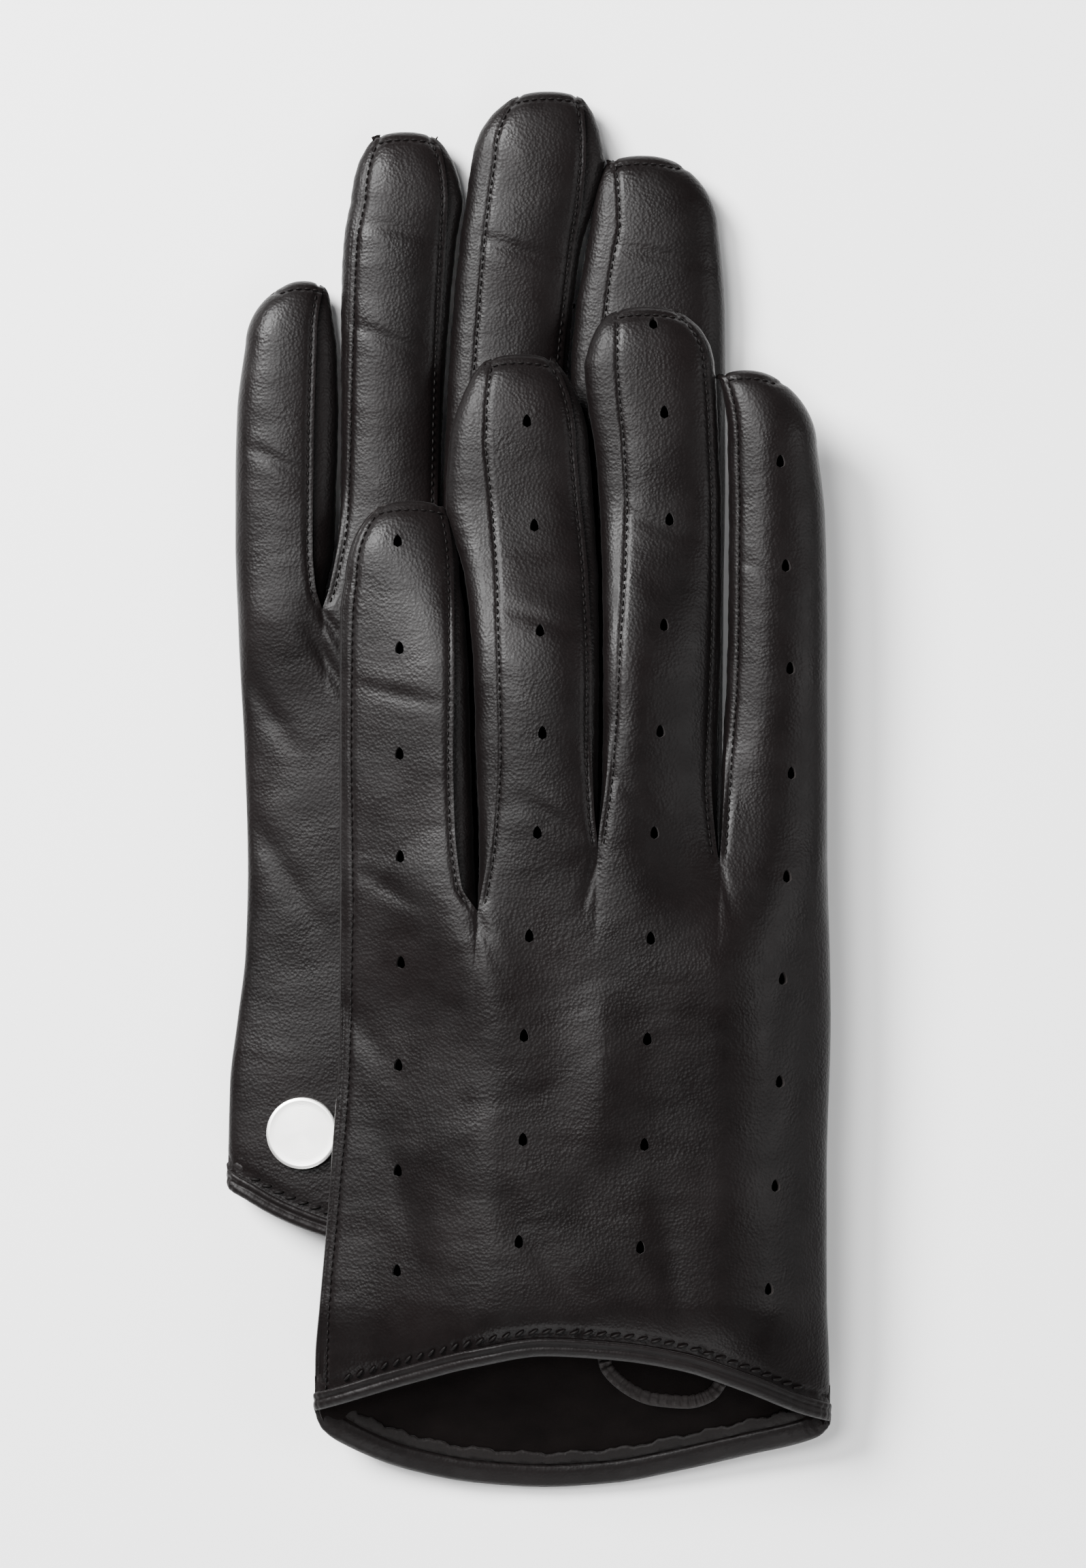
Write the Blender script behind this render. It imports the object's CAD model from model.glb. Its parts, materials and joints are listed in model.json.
"""A pair of dark brown leather driving gloves, laid palm to palm: leather, seams, threads and rivets."""
import json
import math

import bpy
import numpy as np
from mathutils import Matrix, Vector, noise


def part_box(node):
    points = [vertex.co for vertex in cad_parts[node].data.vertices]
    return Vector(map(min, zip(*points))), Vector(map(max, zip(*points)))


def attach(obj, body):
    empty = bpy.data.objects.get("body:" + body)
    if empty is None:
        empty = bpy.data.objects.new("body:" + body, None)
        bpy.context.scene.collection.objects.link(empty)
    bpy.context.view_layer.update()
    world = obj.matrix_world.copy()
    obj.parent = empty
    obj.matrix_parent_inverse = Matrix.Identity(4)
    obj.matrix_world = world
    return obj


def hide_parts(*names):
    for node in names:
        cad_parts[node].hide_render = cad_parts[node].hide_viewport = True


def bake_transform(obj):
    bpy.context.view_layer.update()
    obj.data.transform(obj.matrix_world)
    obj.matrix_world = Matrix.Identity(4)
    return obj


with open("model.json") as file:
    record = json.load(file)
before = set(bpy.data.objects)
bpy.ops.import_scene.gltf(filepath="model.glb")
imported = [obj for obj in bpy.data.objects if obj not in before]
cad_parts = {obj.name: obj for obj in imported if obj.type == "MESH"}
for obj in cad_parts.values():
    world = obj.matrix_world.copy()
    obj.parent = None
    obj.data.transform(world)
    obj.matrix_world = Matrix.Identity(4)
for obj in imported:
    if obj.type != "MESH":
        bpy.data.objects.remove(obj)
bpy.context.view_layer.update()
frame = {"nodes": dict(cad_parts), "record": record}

MM = 0.001
JOINTS = frame["record"]["behaviour"]["joints"]
JOINT_AT = {j["name"]: [c / MM for c in j.get("pos_m", (0, 0, 0))] for j in JOINTS}

# ---------------------------------------------------------------- sizes, in millimetres
LEATHER = 0.75            # thickness of the glove leather
FORK_LEATHER = 0.55       # thickness of the fourchettes, skived thinner
THUMB_LEATHER = 0.3       # thickness of the thumbs' leather where it lies pressed flat
HALF = 5.3                # half height of the hand part lying empty
FINGER_HALF = (5.2, 4.5)  # half height of a finger at its root and before its tip
PRESSED = 0.7             # how much of the lower glove's resting side is pressed flat
SQUARE = 2.35             # how square a cross section is: 2 is an ellipse
TIP_CLOSES = 2.3          # how squarely a fingertip closes
TIP_TAPERS = 1.9          # how round a fingertip is from above
TIP_NARROWS = (0.50, 0.66)  # how much it narrows beside a side strip, and beside a fold
ROOT_WALL = 5.0           # how far a finger's section reaches past its edge at its root, which keeps it open
ROW = 0.75                # distance between rows of a leather grid
STITCH = 1.5              # length of one stitch and its gap
HEM_STITCH = 2.4          # the same along the cuff
TIP_ROW = 1.5             # distance from a fingertip's end to its row of stitches
HEM_ROW = 3.4             # distance from the cuff's edge to its row of stitches
SEAM_IN = 0.95            # distance from a lapped edge to its row of stitches
THREAD = 0.3              # diameter of the thread
STACK = 11.0              # height at which the upper glove lies on the lower one
SAG = 2.0                 # how far it sags beyond the lower one's edge
THUMB_H = 5.6             # height and width of a thumb pressed flat
THUMB_W = 19.0
THUMB_LONG = 90.0
THUMB_GAP = 0.3           # room between a thumb and the palm
THUMB_LIFT = THUMB_H + 0.7  # how far a thumb lifts the leather that lies on it
TABLE = 0.02              # lowest height of leather that lies on the table
HEM_NEAR = {"left": -105.0, "right": -66.0}     # y near which each hem is looked for
SEAM_ENDS = {"left": -100.0, "right": -62.0}    # y near which the side seam meets the hem
CUFF_LEVEL = -95.0        # y at which the cuff's width is taken
HEM_FREE = 4.2            # distance from the cuff's corner to its first stitch
HEM_Z = 1.2               # height of the upper glove's hem above the table
BINDING = 1.9             # how deep the cuff's binding shows outside
HOLE = (0.75, 1.2)        # half width and half length of a punched hole
DISC = (6.35, 1.15)       # radius and height of a rivet's disc
DISC_STEPS = [(0.5, 0.16), (0.35, -0.05), (0.8, 0.0)]   # inset and rise of each ring on its face
POST = (1.2, 2.55)        # radius and length of a rivet's post

FINGERS = ("little", "ring", "middle", "index")
LITTLE, INDEX = 0, 3

# Each finger: its tip, and rows of (y, outline, leather edge, leather edge, outline) from where the tip
# closes down to the fork between the fingers. Little-finger side first.
FINGER_SHAPE = {
    "left": [
        ((-21.9, 50.2), [(36.6, -32.9, -32.0, -13.7, -12.8), (30.6, -33.8, -32.6, -13.6, -11.9),
                         (18.6, -33.9, -32.8, -13.6, -11.1), (6.6, -33.9, -32.9, -13.8, -10.8),
                         (-5.4, -33.9, -32.8, -13.6, -10.4), (-17.4, -33.9, -32.6, -12.3, -9.9),
                         (-21.9, -33.9, -32.6, -9.5, -9.5)]),
        ((-2.1, 76.0), [(59.4, -14.7, -9.2, 7.8, 10.0), (49.8, -15.2, -8.2, 8.6, 10.8),
                        (42.6, -13.5, -7.6, 9.3, 11.2), (36.6, -11.8, -7.2, 9.8, 11.6),
                        (18.6, -10.2, -6.8, 10.5, 11.7), (6.6, -9.9, -6.5, 10.4, 11.6),
                        (-5.4, -9.4, -7.1, 10.9, 11.5), (-11.4, -9.3, -7.7, 11.5, 11.5),
                        (-21.9, -9.5, -9.5, 11.2, 11.2)]),
        ((20.1, 84.4), [(73.8, 9.1, 13.9, 31.3, 32.1), (66.6, 9.8, 14.4, 31.9, 32.6),
                        (60.6, 10.9, 15.0, 32.2, 32.8), (48.6, 11.9, 15.6, 32.6, 33.3),
                        (36.6, 12.3, 15.2, 32.6, 33.3), (24.6, 12.4, 14.4, 32.4, 33.2),
                        (12.6, 12.4, 13.8, 31.9, 32.8), (0.6, 12.2, 12.9, 31.4, 32.4),
                        (-11.4, 11.5, 11.5, 32.4, 32.7), (-13.2, 11.5, 11.5, 32.8, 32.8)]),
        ((38.1, 73.2), [(60.0, 34.4, 35.0, 50.2, 50.2), (47.4, 34.6, 35.3, 51.6, 51.6),
                        (30.6, 34.5, 35.2, 52.0, 52.0), (18.6, 34.2, 34.9, 52.0, 52.0),
                        (6.6, 33.5, 34.1, 52.0, 52.0), (-5.4, 33.0, 33.4, 52.0, 52.0),
                        (-13.2, 32.8, 32.8, 52.0, 52.0)]),
    ],
    "right": [
        ((-41.1, 89.8), [(78.6, -51.0, -50.2, -38.2, -34.8), (66.6, -52.5, -51.5, -38.6, -34.5),
                         (54.6, -52.8, -51.9, -38.8, -34.8), (42.6, -52.8, -51.9, -38.9, -35.2),
                         (35.4, -52.6, -51.6, -38.4, -36.6), (31.2, -52.4, -51.4, -37.2, -37.2)]),
        ((-22.6, 116.3), [(103.8, -32.3, -30.6, -15.0, -12.3), (96.6, -33.6, -32.0, -15.3, -13.5),
                          (84.6, -34.0, -32.6, -15.8, -14.7), (66.6, -34.0, -33.2, -16.4, -15.9),
                          (48.6, -34.2, -33.7, -16.8, -16.5), (35.4, -36.1, -35.8, -17.1, -17.1),
                          (31.2, -37.2, -37.2, -17.1, -17.1)]),
        ((2.7, 123.5), [(111.0, -10.8, -7.6, 9.6, 13.0), (102.6, -12.0, -8.8, 8.8, 10.7),
                        (96.6, -12.9, -9.5, 7.9, 8.9), (84.6, -14.1, -10.5, 6.6, 7.2),
                        (73.8, -14.9, -11.4, 5.5, 6.3), (54.6, -15.9, -13.2, 5.0, 5.7),
                        (35.4, -17.1, -17.1, 5.5, 5.5)]),
        ((20.1, 112.1), [(99.0, 10.2, 14.4, 33.0, 33.0), (90.6, 8.7, 12.8, 33.9, 33.9),
                         (84.6, 7.7, 12.0, 34.2, 34.2), (73.8, 6.8, 10.8, 34.3, 34.3),
                         (54.6, 6.1, 8.1, 34.3, 34.3), (35.4, 5.5, 5.5, 34.0, 34.0)]),
    ],
}
# The lines on which the strips of leather meet, from the fork between two fingers to the cuff
FORK_LINE = {
    "left": [((-21.9, -9.5), (-96.0, -12.8)), ((-11.4, 11.5), (-96.0, 8.5)),
             ((-13.2, 32.8), (-96.0, 30.4))],
    "right": [((31.2, -37.2), (-70.0, -33.3)), ((35.4, -17.1), (-70.0, -11.1)),
              ((35.4, 5.5), (-70.0, 11.7))],
}
# The hand's outline and the side seam's lapped edge, as (y, x)
OUTER = {
    "left": [(-21.9, -33.9), (-41.4, -33.9), (-65.4, -35.3), (-78.6, -36.3), (-91.8, -37.5),
             (-101.4, -38.3), (-126.0, -38.6)],
    "right": [(31.2, -52.4), (23.4, -52.1), (6.6, -51.2), (-15.0, -50.6), (-29.4, -51.0), (-41.4, -52.4),
              (-53.4, -53.8), (-90.0, -54.4)],
}
SIDE_SEAM = {
    "left": [(-21.9, -32.6), (-47.4, -33.2), (-59.4, -33.9), (-71.4, -35.0), (-89.4, -36.6), (-126.0, -38.2)],
    "right": [(31.2, -51.4), (6.6, -50.2), (-15.0, -49.6), (-41.4, -51.2), (-90.0, -53.6)],
}
FOLD = {
    "left": [(-13.2, 52.0), (-41.4, 52.6), (-67.8, 51.9), (-89.4, 51.9), (-101.4, 52.4), (-126.0, 53.1)],
    "right": [(35.4, 34.0), (-17.4, 33.6), (-41.4, 34.0), (-90.0, 34.9)],
}
# The cuff's edge, as (x, y), on the back and on the palm
BACK_HEM = [(-38.5, -109.3), (-33.9, -107.9), (-21.9, -104.0), (-9.9, -100.5), (2.1, -98.5),
            (14.1, -99.2), (26.1, -101.2), (38.1, -105.4), (47.7, -109.6), (53.1, -111.4)]
PALM_HEM = [(-38.5, -109.5), (-37.1, -112.8), (-33.9, -115.5), (-21.9, -120.6), (-9.9, -123.0),
            (2.1, -123.8), (14.1, -123.1), (26.1, -120.8), (38.1, -117.9), (50.1, -114.6), (53.1, -111.6)]
LOWER_PALM_HEM = [(-54.6, -69.6), (-53.2, -70.9), (-50.7, -72.3), (-45.9, -75.0), (-41.4, -77.0),
                  (-36.3, -78.8), (-27.9, -81.2), (-15.9, -82.4), (-3.9, -82.0), (8.1, -80.6),
                  (20.1, -78.2), (32.1, -74.6), (35.1, -71.9)]
SHIFT = (-18.0, 39.6)     # from the left glove's place to the right one's
# Punched holes down the middle of each finger's strip, as (x, y)
HOLES = [
    [(-23.6, 43.1), (-23.2, 24.2), (-23.2, 5.7), (-23.1, -12.3), (-23.1, -30.9), (-23.6, -48.9),
     (-23.7, -67.4), (-23.8, -84.9)],
    [(-0.9, 64.1), (0.4, 45.8), (1.4, 27.2), (1.8, 9.3), (0.9, -8.1), (-0.5, -26.1), (-1.4, -43.5),
     (-1.6, -61.6), (-2.3, -79.4)],
    [(21.3, 81.4), (23.2, 65.6), (24.1, 46.8), (23.1, 28.2), (22.4, 9.6), (21.4, -8.1), (20.7, -26.5),
     (20.1, -44.1), (19.6, -62.5), (18.9, -80.4)],
    [(43.6, 57.0), (44.5, 38.7), (45.3, 20.7), (45.6, 2.3), (44.7, -15.8), (43.8, -33.7), (43.4, -51.7),
     (42.6, -69.9), (41.4, -87.9)],
]
# Creases in the visible leather: (x0, y0, x1, y1, width, depth); a negative depth is a ridge
CREASES = {
    "left": [(-20, -13, 0, -50, 13.0, -1.4), (12, -36, 13, -64, 10.0, -1.2),
             (11.5, -12, 8.6, -22, 1.4, 0.35), (-9.5, -22, -5.0, -33, 1.6, 0.35),
             (32.8, -13, 35.5, -24, 1.4, 0.25),
             (-2, -2, 9, -9, 2.6, 0.4), (14, 2, 22, -6, 2.4, 0.35), (-30, -15, -19, -22, 2.6, 0.35),
             (-27, -60, -18, -88, 4.0, 0.5), (-5, -72, 9, -92, 5.0, 0.6), (22, -70, 26, -96, 5.0, 0.5),
             (47, -30, 41, -62, 4.0, 0.4), (-33, -38, -24, -52, 3.0, 0.4), (36, 40, 50, 33, 2.0, 0.3),
             (16, 48, 30, 43, 2.2, 0.35), (-7, 32, 8, 27, 2.2, 0.3), (-31, 18, -16, 14, 2.2, 0.3)],
    "right": [(-37.2, 31, -30, 20, 1.8, 0.9), (-40, 28, -30, 12, 2.4, 0.6), (-50, 60, -40, 55, 2.0, 0.4),
              (-32, 82, -18, 76, 2.4, 0.4), (-11, 98, 6, 92, 2.4, 0.4), (-51, 20, -42, 6, 3.5, 0.5),
              (-50, -5, -38, -25, 4.0, 0.5), (-30, 100, -17, 97, 2.0, 0.3), (14, 96, 32, 92, 2.2, 0.35)],
}
SIDES = {"left": 1, "right": -1}      # the left glove's back faces up, and the right one's palm


# ---------------------------------------------------------------- curves and surfaces
def smooth(t):
    """0 below 0, 1 above 1, and an even curve between."""
    t = np.clip(t, 0, 1)
    return t * t * (3 - 2 * t)


def curve(points):
    """A smooth function through (x, y) points, with no overshoot."""
    pts = sorted(points)
    xs = np.array([p[0] for p in pts], float)
    ys = np.array([p[1] for p in pts], float)
    steep = np.diff(ys) / np.diff(xs)
    m = np.zeros(len(xs))
    m[0], m[-1] = steep[0], steep[-1]
    same = steep[1:] * steep[:-1] > 0
    m[1:-1][same] = 2 / (1 / steep[1:][same] + 1 / steep[:-1][same])

    def value(x):
        x = np.clip(np.asarray(x, float), xs[0], xs[-1])
        k = np.clip(np.searchsorted(xs, x) - 1, 0, len(xs) - 2)
        h = xs[k + 1] - xs[k]
        t = (x - xs[k]) / h
        return ((2 * t**3 - 3 * t**2 + 1) * ys[k] + (t**3 - 2 * t**2 + t) * h * m[k]
                + (3 * t**2 - 2 * t**3) * ys[k + 1] + (t**3 - t**2) * h * m[k + 1])
    return value


def over_right_thumb(x, y):
    """Share of a thumb's height by which the right thumb lifts the upper glove."""
    return smooth((x + 30) / 24) * (1 - smooth((x - 12) / 26)) * (1 - smooth((y - 18) / 34))


def over_left_thumb(x, y):
    """The same for the upper glove's own thumb."""
    return smooth((x + 2) / 22) * (1 - smooth((x - 31) / 27)) * (1 - smooth((y + 34) / 34))


def drape(x, y):
    """Height of the upper glove's underside: it lies on the lower glove, and its cuff hangs down."""
    lift = THUMB_LIFT * (1 - (1 - over_right_thumb(x, y)) * (1 - over_left_thumb(x, y)))
    lying = STACK + lift - SAG * smooth((x - 40) / 15)
    return lying + (HEM_Z - lying) * smooth((-90 - y) / 38)


def middle(side, x, y):
    """Height of a glove's middle surface."""
    return drape(x, y) + HALF if side == "left" else np.full_like(np.asarray(x, float), HALF - PRESSED)


class Finger:
    """One finger's outline, as functions of y in the pair's frame."""

    def __init__(self, side, i):
        self.side, self.i = side, i
        self.tip, rows = FINGER_SHAPE[side][i]
        self.close = rows[0][0]
        self.lines = [curve([(r[0], r[k]) for r in rows]) for k in (1, 2, 3, 4)]
        self.root = rows[-1][0]

    def near_tip(self, y):
        """0 where the tip starts to close, and 1 at its end."""
        return np.clip((y - self.close) / (self.tip[1] - self.close), 0, 1)

    def closing(self, y, amount, power=TIP_TAPERS):
        """Share of a width that is left at y."""
        return (1 - amount * self.near_tip(y) ** power) ** (1 / power)

    def edges(self, y):
        """Outline, leather edge, leather edge, outline at y."""
        y = np.asarray(y, float)
        v = [line(np.minimum(y, self.close)) for line in self.lines]
        centre = (v[1] + v[2]) / 2
        moved = centre + (self.tip[0] - centre) * self.near_tip(y) ** 2
        k = [self.closing(y, TIP_NARROWS[side]) for side in (self.i == LITTLE, self.i == INDEX)]
        lap = [moved + (v[1] - centre) * k[0], moved + (v[2] - centre) * k[1]]
        round_end = self.closing(y, 0.999, 1.35)
        return [lap[0] + (v[0] - v[1]) * round_end, lap[0], lap[1], lap[1] + (v[3] - v[2]) * round_end]

    def rounded(self, x, y):
        """y of a point once the fingertip's end is rounded off at its corners."""
        end = self.edges(self.tip[1])
        u = np.clip(np.abs(x - (end[1] + end[2]) / 2) / ((end[2] - end[1]) / 2), 0, 1)
        return y - 1.1 * self.near_tip(y) ** 3 * u**2.2

    def half_height(self, y):
        t = np.clip((y - self.root) / (self.tip[1] - self.root), 0, 1)
        flat = FINGER_HALF[0] + (FINGER_HALF[1] - FINGER_HALF[0]) * t
        return flat * self.closing(y, 0.9995, TIP_CLOSES)


def bump(s):
    """Height share of a cross section at s, from -1 to 1 across it."""
    return np.clip(1 - np.abs(s) ** SQUARE, 0, 1) ** (1 / SQUARE)


def noise_field(points, scale, seed, octaves=3):
    """Smooth noise about zero at each point, one bump every `scale` millimetres."""
    places = points / scale + (seed, 0, seed)
    return np.array([noise.fractal(Vector(p), 0.6, 2.0, octaves) for p in places])


class Glove:
    """One glove's outlines, and the height of its leather."""

    def __init__(self, side):
        self.side = side
        self.sign = SIDES[side]
        self.fingers = [Finger(side, i) for i in range(4)]
        self.forks = FORK_LINE[side]
        self.outer = curve(OUTER[side])
        self.seam = curve(SIDE_SEAM[side])
        self.fold = curve(FOLD[side])
        self.shift = (0, 0) if side == "left" else SHIFT
        self.back_hem = curve([(x + self.shift[0], y + self.shift[1]) for x, y in BACK_HEM])
        self.palm_hem = curve(PALM_HEM if side == "left" else LOWER_PALM_HEM)
        self.split = [JOINT_AT[f"left_{n}_knuckle"][1] - 0.1 if side == "left" else f.root
                      for n, f in zip(FINGERS, self.fingers)]

    def fork_x(self, k, y):
        """x of fork line k (0 to 2) at y, below the fork."""
        (y0, x0), (y1, x1) = self.forks[k]
        return x0 + (x1 - x0) * (y0 - np.asarray(y, float)) / (y0 - y1)

    def band(self, i, y, lapped=True):
        """Edges in x of finger i's band at y. The outer edge is the side seam's lap, or the outline."""
        y = np.asarray(y, float)
        f = self.fingers[i]
        e = f.edges(y)
        if i == LITTLE:
            low = np.where(y < f.root, self.seam(y) if lapped else self.outer(y), e[1] if lapped else e[0])
        else:
            low = np.where(y < self.forks[i - 1][0][0], self.fork_x(i - 1, y), e[1])
        if i == INDEX:
            high = np.where(y < f.root, self.fold(y), e[3])
        else:
            high = np.where(y < self.forks[i][0][0], self.fork_x(i, y), e[2])
        return low, high

    def across_hand(self, x, y):
        """Height share of the hand's section at a place."""
        left, right = self.outer(y), self.fold(y)
        return bump((x - (left + right) / 2) / ((right - left) / 2))

    def finger_share(self, i, x, y):
        """1 where the leather is shaped by finger i, 0 where it is shaped by the whole hand."""
        low, high = self.band(i, y)
        u = np.clip((x - low) / np.maximum(high - low, 1e-6), 0, 1)
        y_low = self.forks[i - 1][0][0] if i > LITTLE else self.fingers[i].root
        y_high = self.forks[i][0][0] if i < INDEX else self.fingers[i].root
        return smooth((y - (y_low + (y_high - y_low) * u - 21)) / 22)

    def rise(self, i, x, y):
        """Height of the outer leather above the middle surface, in band i."""
        x, y = np.broadcast_arrays(np.asarray(x, float), np.asarray(y, float))
        high = self.rise_of(i, x, y)
        for other in (i - 1, i + 1):
            if 0 <= other <= INDEX:
                k = min(i, other)
                fork = self.forks[k][0][0]
                yy = np.minimum(y, fork)
                seam = self.fork_x(k, yy)
                half_gap = (self.rise_of(other, seam, yy) - self.rise_of(i, seam, yy)) / 2
                high = high + half_gap * (1 - smooth(np.abs(x - seam) / 5)) * (1 - smooth((y - fork) / 4))
        return high

    def rise_of(self, i, x, y):
        """Height that band i would have by itself."""
        f = self.fingers[i]
        yy = np.maximum(y, f.root)
        e = f.edges(yy)
        low, high = e[0], e[3]
        if i == LITTLE:
            low = np.where(y < f.root, self.outer(y), low)
        else:
            low = low - ROOT_WALL * (1 - smooth((y - self.forks[i - 1][0][0]) / 24))
        if i == INDEX:
            high = np.where(y < f.root, self.fold(y), high)
        else:
            high = high + ROOT_WALL * (1 - smooth((y - self.forks[i][0][0]) / 24))
        centre, half = (low + high) / 2, (high - low) / 2
        of_finger = f.half_height(yy) * bump((x - centre) / half)
        of_hand = HALF * self.across_hand(x, y)
        return of_hand + (of_finger - of_hand) * self.finger_share(i, x, y)

    def height(self, i, x, y, face, inset=0.0):
        """Height of the leather on one face: face 1 is the upper one."""
        z = middle(self.side, x, y) + face * (self.rise(i, x, y) - inset)
        return z if self.side == "left" else np.maximum(z, TABLE + np.maximum(inset, 0))


GLOVES = {side: Glove(side) for side in SIDES}


# ---------------------------------------------------------------- grids of leather
def tip_rows(f, start):
    """y of each row of a finger from start to its tip, closer together where the tip closes."""
    straight = np.linspace(start, f.close, max(2, int((f.close - start) / ROW)), endpoint=False)
    turn = np.sin(np.linspace(0, math.pi / 2, 22))
    return np.concatenate([straight, f.close + (f.tip[1] - f.close) * turn])


NEAR_SEAM = (0, 0.3, 0.6, 0.9, 1.25, 1.7, 2.3)      # distance of the columns beside a lapped edge


def across(low, high, lapped_low, lapped_high, count=13):
    """x of each column between two edges: close together at a lapped seam, and at a rounded edge."""
    low, high = np.asarray(low, float), np.asarray(high, float)
    width = high - low
    unit = np.minimum(width / 12.0, 1.0)
    left = [low + d * unit for d in NEAR_SEAM] if lapped_low else []
    right = [high - d * unit for d in NEAR_SEAM[::-1]] if lapped_high else []
    a = left[-1] if lapped_low else low
    b = right[0] if lapped_high else high
    if lapped_low and lapped_high:
        inner = [a + (b - a) * k / count for k in range(1, count)]
        return np.stack(left + inner + right, axis=-1)
    t = np.sin(np.linspace(0, math.pi / 2, count + 7))
    if lapped_low:
        return np.stack(left + [a + (high - a) * k for k in t[1:]], axis=-1)
    return np.stack([b - (b - low) * k for k in t[1:][::-1]] + right, axis=-1)


def same_place(points):
    """A number for each point; points that share a place share it."""
    key = np.round(np.round(points, 6) / 0.004).astype(np.int64)
    return np.unique(key, axis=0, return_inverse=True)[1].ravel()


def vertex_normals(points, faces):
    """Smooth normals, with points that share a place given one normal."""
    a, b, c, d = (points[faces[:, k]] for k in range(4))
    total = np.zeros_like(points)
    for k in range(4):
        np.add.at(total, faces[:, k], np.cross(c - a, d - b))
    place = same_place(points)
    summed = np.zeros((place.max() + 1, 3))
    np.add.at(summed, place, total)
    return unit(summed[place])


def unit(vectors):
    """The same directions with length 1."""
    return vectors / np.maximum(np.linalg.norm(vectors, axis=1, keepdims=True), 1e-9)


def add_mesh(name, points, faces, materials):
    """A new piece at the origin, from points in millimetres."""
    mesh = bpy.data.meshes.new(name)
    mesh.from_pydata((points.reshape(-1, 3) * MM).tolist(), [], faces)
    for material in materials:
        mesh.materials.append(material)
    piece = bpy.data.objects.new(name, mesh)
    bpy.context.scene.collection.objects.link(piece)
    return piece


def make_piece(name, points, faces, normals, thickness, materials, body, nodes=(), blend=None):
    """A wall of leather: the outer skin, the lining skin and the cut edges between them."""
    place = same_place(points)
    first = np.full(place.max() + 1, -1)
    first[place[::-1]] = np.arange(len(points))[::-1]
    faces = first[place][faces]
    used, compact = np.unique(faces, return_inverse=True)
    faces = compact.reshape(faces.shape)
    outer, up = points[used], normals[used]
    count = len(outer)
    inner = outer - up * thickness
    if name.startswith("right"):
        inner[:, 2] = np.maximum(inner[:, 2], TABLE)
    quads = []
    for q in faces:
        corners = [int(v) for k, v in enumerate(q) if v != q[k - 1]]
        if len(set(corners)) == len(corners) and len(corners) > 2:
            quads.append(tuple(corners))
    sides = set()
    for q in quads:
        for k, a in enumerate(q):
            b = q[(k + 1) % len(q)]
            if (b, a) in sides:
                sides.remove((b, a))
            else:
                sides.add((a, b))
    lining = [tuple(v + count for v in q[::-1]) for q in quads]
    rim = [(b, a, a + count, b + count) for a, b in sorted(sides)]
    piece = add_mesh(name, np.concatenate([outer, inner]), quads + lining + rim, materials)
    mesh = piece.data
    mesh.polygons.foreach_set("material_index", [0] * len(quads) + [1] * len(lining) + [2] * len(rim))
    mesh.shade_smooth()
    mesh.update()
    corner = np.empty(len(mesh.loops), np.int32)
    mesh.loops.foreach_get("vertex_index", corner)
    loops = np.concatenate([up, -up])[corner]
    for p in mesh.polygons[len(quads) + len(lining):]:
        loops[list(p.loop_indices)] = p.normal
    mesh.normals_split_custom_set(loops.tolist())
    finish_piece(piece, body, nodes, blend)


def finish_piece(piece, body, nodes=(), blend=None):
    """Names the CAD nodes that the piece replaces and the bodies that it moves with."""
    if nodes:
        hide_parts(*nodes)
    if blend:
        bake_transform(piece)
    else:
        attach(piece, body)


def crease_depth(side, points):
    """Depth of the creases at each point: a dent with a low roll along each side."""
    depth = np.zeros(len(points))
    for x0, y0, x1, y1, width, deep in CREASES[side]:
        d = np.array([x1 - x0, y1 - y0])
        t = ((points[:, :2] - (x0, y0)) @ d) / (d @ d)
        near = points[:, :2] - ((x0, y0) + np.clip(t, 0, 1)[:, None] * d)
        away = np.linalg.norm(near, axis=1)
        fade = np.sin(np.clip(t * 0.86 + 0.07, 0, 1) * math.pi) ** 0.6
        roll = 0.45 * np.exp(-((away - width) / width) ** 2)
        depth += deep * fade * (np.exp(-((away / (width * 0.5)) ** 2)) - roll)
    return depth


def seam_groove(distance, along):
    """Depth of the groove that the stitches pull into the leather, and of the puckers between them."""
    pull = np.exp(-((distance - SEAM_IN) / 0.40) ** 2)
    pucker = 0.5 + 0.5 * np.cos(2 * math.pi * along / STITCH)
    return pull * (0.22 + 0.16 * pucker) + 0.05 * pucker * np.exp(-(distance / 0.35) ** 2)


def soften(side, points, normals, amount=1.0):
    """Moves leather points along their normals: soft dents and creases of a glove that has been worn."""
    wide = noise_field(points, 26.0, 3.7 if side == "left" else 9.1, 2)
    small = noise_field(points * (1, 2.2, 1), 9.0, 21.3, 2)
    move = 0.34 * wide + 0.06 * small - 0.6 * crease_depth(side, points)
    return points + normals * (move * amount * normals[:, 2] ** 2)[:, None]


# ---------------------------------------------------------------- leather material
def new_material(name, **surface):
    """A material, a maker of its nodes, its linker, its shader and the place on the piece."""
    material = bpy.data.materials.new(name)
    material.use_nodes = True
    tree = material.node_tree
    tree.nodes.clear()

    def make(kind, **values):
        n = tree.nodes.new(kind)
        for key, value in values.items():
            if key in n.inputs:
                n.inputs[key].default_value = value
            else:
                setattr(n, key, value)
        return n

    shader = make("ShaderNodeBsdfPrincipled", **surface)
    tree.links.new(shader.outputs["BSDF"], make("ShaderNodeOutputMaterial").inputs["Surface"])
    return material, make, tree.links.new, shader, make("ShaderNodeTexCoord").outputs["Object"]


def colour_ramp(make, dark, light, start=0.0, end=1.0):
    """A blend between two colours."""
    ramp = make("ShaderNodeValToRGB")
    for element, colour, position in zip(ramp.color_ramp.elements, (dark, light), (start, end)):
        element.position = position
        element.color = (*colour, 1)
    return ramp


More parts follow.
